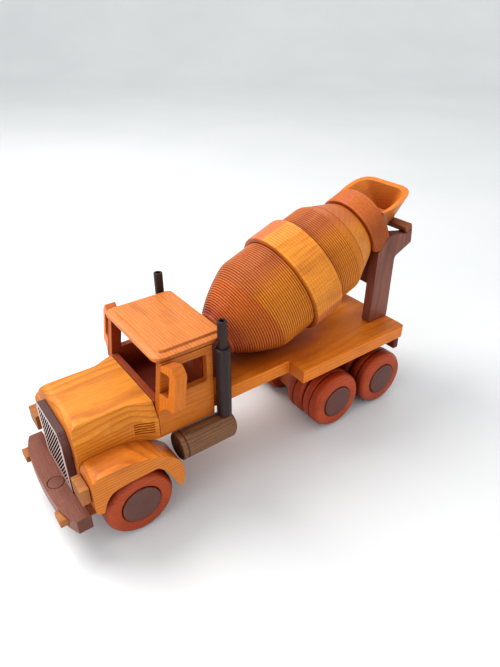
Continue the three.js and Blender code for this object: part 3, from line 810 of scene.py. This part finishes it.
def seat_tool():
    """Everything below the tops of the posts, which step up behind the collar."""
    axle = middle_of("front_axle").x / MM
    seat, rise, floor, half = 160.25, 172.45, 100, 60
    path = [
        (-230, seat), (-265.25, seat), (-268.35, seat), (-275.85, rise - 1),
        (-330, rise), (-330, floor), (-230, floor),
    ]
    return loft("seat_tool", [[(x + axle, y, z) for x, z in path] for y in (-half, half)])


HOPPER_FOOT, HOPPER_RIM, HOPPER_MOUTH, HOPPER_CORNER, HOPPER_REAR = -10.7, 18.0, -106.0, -118.0, -146.8


def hopper_ring(z, floor, widths, corners, front, rear, centre, along, across):
    """Rounded scoop outline at a height, drawn in towards the floor."""
    mouth, shoulder, tail = widths
    right = [(front, mouth), (HOPPER_CORNER, shoulder, corners[0]), (rear, tail, corners[1])]
    left = [(x, -y, *r) for x, y, *r in reversed(right)]
    squeeze = (HOPPER_RIM - z) / (HOPPER_RIM - floor)
    ring = []
    for p in rounded(right + left, 9):
        ring.append((p.x + squeeze * (centre - p.x) * (1 - along), p.y * (1 - squeeze * (1 - across)), z))
    return ring


def add_hopper():
    """Scoop with round rear corners, open towards the drum."""
    wall, floor = 5, HOPPER_FOOT + 5.2
    outer = {
        "floor": HOPPER_FOOT, "widths": (30, 34, 31.5), "corners": (10, 17.5), "front": HOPPER_MOUTH,
        "rear": HOPPER_REAR, "centre": -127.2, "along": 0.434, "across": 0.44,
    }
    inner = {
        "floor": floor, "widths": (25, 28.8, 26.5), "corners": (8, 14), "front": HOPPER_MOUTH + 12,
        "rear": HOPPER_REAR + wall, "centre": -122, "along": 0.6, "across": 0.4,
    }
    shell = loft("hopper_piece", [hopper_ring(z, **outer) for z in (HOPPER_FOOT, HOPPER_RIM)], AXIS_FRAME)
    hollow = loft("hopper_hollow", [hopper_ring(z, **inner) for z in (floor, HOPPER_RIM + 3)], AXIS_FRAME)
    cut_away(shell, hollow)
    shell.data.set_sharp_from_angle(angle=math.radians(35))
    soften(shell, 0.7, 45)
    dress(shell, "hopper", "X", tint=(0.95, 0.82, 0.9), figure=0.5)


add_collar()
add_hopper()

# ---------- stage ----------
def add_stage():
    """Pale floor that curves up into a backdrop far behind the toy."""
    back, across = Vector((-0.595, -0.804, 0)), Vector((0.804, -0.595, 0))
    near, bend, radius, height, half = -3.0, 2.2, 1.2, 4.0, 5
    turns = [math.pi / 2 * k / 14 for k in range(1, 15)]
    path = [(near, 0.0), (bend, 0.0)]
    path += [(bend + radius * math.sin(a), radius - radius * math.cos(a)) for a in turns]
    path += [(bend + radius, height)]
    points = []
    for w in (-half, half):
        points += [(back * run + across * w + Vector((0, 0, rise))) / MM for run, rise in path]
    count = len(path)
    faces = [[i, i + 1, count + i + 1, count + i] for i in range(count - 1)]
    stage = build("stage", points, faces)
    shader = Shader("pale_board")
    place = shader.node("TexCoord", {})
    mottle = shader.noise(place.outputs["Object"], 3.0, 2.0)
    colour = shader.ramp(mottle, [(0.3, (0.72, 0.73, 0.735)), (0.7, (0.76, 0.765, 0.77))])
    look = {"Base Color": colour, "Roughness": 0.32, "Specular IOR Level": 0.35}
    surface = shader.node("BsdfPrincipled", look)
    shader.node("OutputMaterial", {"Surface": surface.outputs[0]})
    stage.data.materials.append(shader.material)


def add_light(name, at, power, size, colour, target=(0, 0, 0.06)):
    """Round soft lamp aimed at the toy."""
    data = bpy.data.lights.new(name, "AREA")
    data.energy = power
    data.shape = "DISK"
    data.size = size
    data.color = colour
    lamp = bpy.data.objects.new(name, data)
    bpy.context.scene.collection.objects.link(lamp)
    lamp.location = at
    lamp.rotation_euler = (Vector(target) - Vector(at)).to_track_quat("-Z", "Y").to_euler()


def add_world():
    """Even white surroundings."""
    world = bpy.data.worlds.new("studio")
    bpy.context.scene.world = world
    world.use_nodes = True
    ground = world.node_tree.nodes["Background"]
    ground.inputs["Color"].default_value = (0.97, 0.99, 1.0, 1)
    ground.inputs["Strength"].default_value = 1.0


def add_camera():
    """Camera ahead of the toy's left side, looking down on it."""
    data = bpy.data.cameras.new("camera")
    data.sensor_width = 36
    data.lens = 28.705
    data.clip_start = 0.01
    camera = bpy.data.objects.new("camera", data)
    bpy.context.scene.collection.objects.link(camera)
    aim = Vector((-0.50233, -0.67786, -0.53682))
    turn = aim.to_track_quat("-Z", "Y").to_matrix().to_4x4()
    roll = Matrix.Rotation(math.radians(0.3), 4, "Z")
    camera.matrix_world = Matrix.Translation((0.22314, 0.32558, 0.35688)) @ turn @ roll
    bpy.context.scene.camera = camera


add_stage()
add_light("key", (0.45, -0.75, 1.25), 18, 0.9, (1.0, 0.98, 0.95))
add_light("front", (1.2, 0.2, 0.6), 4, 1.0, (0.95, 0.97, 1.0))
add_world()
add_camera()
bpy.context.scene.view_settings.view_transform = "Standard"
